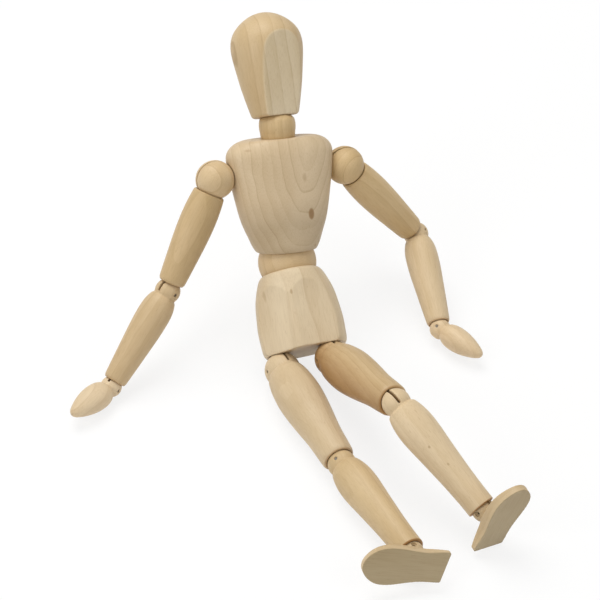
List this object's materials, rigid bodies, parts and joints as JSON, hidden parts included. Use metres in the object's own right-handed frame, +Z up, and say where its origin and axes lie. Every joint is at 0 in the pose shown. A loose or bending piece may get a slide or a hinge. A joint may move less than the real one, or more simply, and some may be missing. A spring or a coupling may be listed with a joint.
{
  "type": "artist mannequin",
  "caption": "Jointed wooden drawing figure with ball joints at neck, waist, shoulders, elbows, wrists, hips, knees and ankles, held by wire hooks and hidden springs.",
  "frame": {"origin": "middle of the figure's footprint, on the surface it sits on", "axes": "+Z up from that surface; the figure sits with its front toward -Y and its left hand toward +X"},
  "size_m": [0.2254, 0.273, 0.1489],
  "materials": {
    "limb_wood": "satin",
    "ball_wood": "satin",
    "nail_steel": "satin",
    "spring_steel": "satin"
  },
  "bodies": {
    "pelvis": {"pelvis": "limb_wood", "pelvis_nails": "nail_steel", "pelvis_springs": "spring_steel"},
    "waist_hook": {"waist_hook": "spring_steel"},
    "waist": {"waist": "ball_wood"},
    "chest": {"chest": "limb_wood", "chest_nails": "nail_steel", "chest_springs": "spring_steel"},
    "neck_hook": {"neck_hook": "spring_steel"},
    "neck": {"neck": "ball_wood"},
    "head": {"head": "limb_wood", "head_spring": "spring_steel", "head_nail": "nail_steel"},
    "right_shoulder": {"right_shoulder": "ball_wood", "right_shoulder_pins": "nail_steel", "right_shoulder_hook": "spring_steel"},
    "right_upper_arm": {"right_upper_arm": "limb_wood", "right_arm_spring": "spring_steel"},
    "right_elbow_hook": {"right_elbow_hook": "spring_steel"},
    "right_forearm": {"right_forearm": "limb_wood", "right_forearm_pins": "nail_steel", "right_forearm_spring": "spring_steel"},
    "right_wrist_hook": {"right_wrist_hook": "spring_steel"},
    "right_hand": {"right_hand": "limb_wood", "right_hand_pin": "nail_steel"},
    "right_hip_hook": {"right_hip_hook": "spring_steel"},
    "right_thigh": {"right_thigh": "limb_wood", "right_thigh_pins": "nail_steel", "right_thigh_spring": "spring_steel"},
    "right_knee_hook": {"right_knee_hook": "spring_steel"},
    "right_shin": {"right_shin": "limb_wood", "right_shin_pins": "nail_steel", "right_shin_spring": "spring_steel"},
    "right_ankle_hook": {"right_ankle_hook": "spring_steel"},
    "right_foot": {"right_foot": "limb_wood", "right_foot_pin": "nail_steel"},
    "left_shoulder": {"left_shoulder": "ball_wood", "left_shoulder_pins": "nail_steel", "left_shoulder_hook": "spring_steel"},
    "left_upper_arm": {"left_upper_arm": "limb_wood", "left_arm_spring": "spring_steel"},
    "left_elbow_hook": {"left_elbow_hook": "spring_steel"},
    "left_forearm": {"left_forearm": "limb_wood", "left_forearm_pins": "nail_steel", "left_forearm_spring": "spring_steel"},
    "left_wrist_hook": {"left_wrist_hook": "spring_steel"},
    "left_hand": {"left_hand": "limb_wood", "left_hand_pin": "nail_steel"},
    "left_hip_hook": {"left_hip_hook": "spring_steel"},
    "left_thigh": {"left_thigh": "limb_wood", "left_thigh_pins": "nail_steel", "left_thigh_spring": "spring_steel"},
    "left_knee_hook": {"left_knee_hook": "spring_steel"},
    "left_shin": {"left_shin": "limb_wood", "left_shin_pins": "nail_steel", "left_shin_spring": "spring_steel"},
    "left_ankle_hook": {"left_ankle_hook": "spring_steel"},
    "left_foot": {"left_foot": "limb_wood", "left_foot_pin": "nail_steel"}
  },
  "joints": [
    {"name": "waist_turn", "type": "hinge", "parent": "pelvis", "child": "waist_hook", "pos_m": [-0.00342, 0.05115, 0.04338], "axis": [-0.2044, 0.7972, 0.568], "range_deg": [-45, 30]},
    {"name": "waist_lean", "type": "hinge", "parent": "waist_hook", "child": "waist", "pos_m": [-0.00342, 0.05115, 0.04338], "axis": [-0.3038, 0.4999, -0.811], "range_deg": [-14, 14]},
    {"name": "chest_bow", "type": "hinge", "parent": "waist", "child": "chest", "pos_m": [-0.00342, 0.05115, 0.04338], "axis": [0.9319, 0.3328, -0.144], "range_deg": [-24, 3]},
    {"name": "neck_turn", "type": "hinge", "parent": "chest", "child": "neck_hook", "pos_m": [-0.00831, 0.08883, 0.09881], "axis": [-0.0728, 0.5607, 0.8248], "range_deg": [-60, 60]},
    {"name": "neck_lean", "type": "hinge", "parent": "neck_hook", "child": "neck", "pos_m": [-0.00831, 0.08883, 0.09881], "axis": [-0.4966, 0.6968, -0.5175], "range_deg": [-12, 12]},
    {"name": "head_nod", "type": "hinge", "parent": "neck", "child": "head", "pos_m": [-0.00831, 0.08883, 0.09881], "axis": [0.8664, 0.4335, -0.2478], "range_deg": [-12, 14]},
    {"name": "right_shoulder_swing", "type": "hinge", "parent": "chest", "child": "right_shoulder", "pos_m": [-0.03999, 0.06543, 0.08695], "axis": [0.9319, 0.3328, -0.144], "range_deg": [-90, 60]},
    {"name": "right_arm_lift", "type": "hinge", "parent": "right_shoulder", "child": "right_upper_arm", "pos_m": [-0.03999, 0.06543, 0.08695], "axis": [-0.3621, 0.8327, -0.4188], "range_deg": [-24, 50]},
    {"name": "right_forearm_twist", "type": "hinge", "parent": "right_upper_arm", "child": "right_elbow_hook", "pos_m": [-0.06451, 0.03169, 0.04107], "axis": [0.3954, 0.5441, 0.74], "range_deg": [-60, 60]},
    {"name": "right_elbow_bend", "type": "hinge", "parent": "right_elbow_hook", "child": "right_forearm", "pos_m": [-0.06451, 0.03169, 0.04107], "axis": [0.673, -0.7199, 0.1697], "range_deg": [-45, 65]},
    {"name": "right_hand_twist", "type": "hinge", "parent": "right_forearm", "child": "right_wrist_hook", "pos_m": [-0.09323, -0.00319, 0.00698], "axis": [0.5074, 0.6163, 0.6022], "range_deg": [-60, 60]},
    {"name": "right_wrist_bend", "type": "hinge", "parent": "right_wrist_hook", "child": "right_hand", "pos_m": [-0.09323, -0.00319, 0.00698], "axis": [0.7654, -0.6434, 0.0136], "range_deg": [-10, 85]},
    {"name": "right_hip_twist", "type": "hinge", "parent": "pelvis", "child": "right_hip_hook", "pos_m": [-0.00566, 0.00314, 0.01243], "axis": [-0.2044, 0.7972, 0.568], "range_deg": [-30, 10]},
    {"name": "right_hip_bend", "type": "hinge", "parent": "right_hip_hook", "child": "right_thigh", "pos_m": [-0.00566, 0.00314, 0.01243], "axis": [0.87, 0.4139, -0.2679], "range_deg": [-15, 40]},
    {"name": "right_shin_twist", "type": "hinge", "parent": "right_thigh", "child": "right_knee_hook", "pos_m": [0.02389, -0.06029, 0.0104], "axis": [-0.4222, 0.9061, 0.029], "range_deg": [-40, 40]},
    {"name": "right_knee_bend", "type": "hinge", "parent": "right_knee_hook", "child": "right_shin", "pos_m": [0.02389, -0.06029, 0.0104], "axis": [0.4707, 0.2465, -0.8472], "range_deg": [-19, 45]},
    {"name": "right_foot_twist", "type": "hinge", "parent": "right_shin", "child": "right_ankle_hook", "pos_m": [0.0565, -0.1188, 0.0115], "axis": [-0.4868, 0.8734, -0.0164], "range_deg": [-45, 45]},
    {"name": "right_ankle_bend", "type": "hinge", "parent": "right_ankle_hook", "child": "right_foot", "pos_m": [0.0565, -0.1188, 0.0115], "axis": [0.1426, 0.098, 0.9849], "range_deg": [-15, 35]},
    {"name": "left_shoulder_swing", "type": "hinge", "parent": "chest", "child": "left_shoulder", "pos_m": [0.02637, 0.08912, 0.07669], "axis": [0.9319, 0.3328, -0.144], "range_deg": [-90, 60]},
    {"name": "left_arm_lift", "type": "hinge", "parent": "left_shoulder", "child": "left_upper_arm", "pos_m": [0.02637, 0.08912, 0.07669], "axis": [-0.3607, 0.8912, -0.2751], "range_deg": [-40, 28]},
    {"name": "left_forearm_twist", "type": "hinge", "parent": "left_upper_arm", "child": "left_elbow_hook", "pos_m": [0.06487, 0.08971, 0.0281], "axis": [-0.6209, -0.0094, 0.7838], "range_deg": [-60, 60]},
    {"name": "left_elbow_bend", "type": "hinge", "parent": "left_elbow_hook", "child": "left_forearm", "pos_m": [0.06487, 0.08971, 0.0281], "axis": [0.7825, -0.0667, 0.6191], "range_deg": [0, 115]},
    {"name": "left_hand_twist", "type": "hinge", "parent": "left_forearm", "child": "left_wrist_hook", "pos_m": [0.07635, 0.03805, 0.00802], "axis": [-0.2029, 0.9126, 0.3548], "range_deg": [-60, 60]},
    {"name": "left_wrist_bend", "type": "hinge", "parent": "left_wrist_hook", "child": "left_hand", "pos_m": [0.07635, 0.03805, 0.00802], "axis": [-0.4023, -0.4081, 0.8195], "range_deg": [-80, 10]},
    {"name": "left_hip_twist", "type": "hinge", "parent": "pelvis", "child": "left_hip_hook", "pos_m": [0.01979, 0.00483, 0.01922], "axis": [-0.2044, 0.7972, 0.568], "range_deg": [-14, 30]},
    {"name": "left_hip_bend", "type": "hinge", "parent": "left_hip_hook", "child": "left_thigh", "pos_m": [0.01979, 0.00483, 0.01922], "axis": [0.9019, 0.379, -0.2074], "range_deg": [-5, 24]},
    {"name": "left_shin_twist", "type": "hinge", "parent": "left_thigh", "child": "left_knee_hook", "pos_m": [0.04997, -0.05259, 0.04554], "axis": [-0.4312, 0.8202, -0.376], "range_deg": [-40, 19]},
    {"name": "left_knee_bend", "type": "hinge", "parent": "left_knee_hook", "child": "left_shin", "pos_m": [0.04997, -0.05259, 0.04554], "axis": [0.7865, 0.5459, 0.2889], "range_deg": [-90, 2]},
    {"name": "left_foot_twist", "type": "hinge", "parent": "left_shin", "child": "left_ankle_hook", "pos_m": [0.0913, -0.09753, 0.01795], "axis": [-0.6168, 0.6708, 0.4118], "range_deg": [-45, 45]},
    {"name": "left_ankle_bend", "type": "hinge", "parent": "left_ankle_hook", "child": "left_foot", "pos_m": [0.0913, -0.09753, 0.01795], "axis": [0.6095, 0.7381, -0.2894], "range_deg": [-25, 35]}
  ]
}
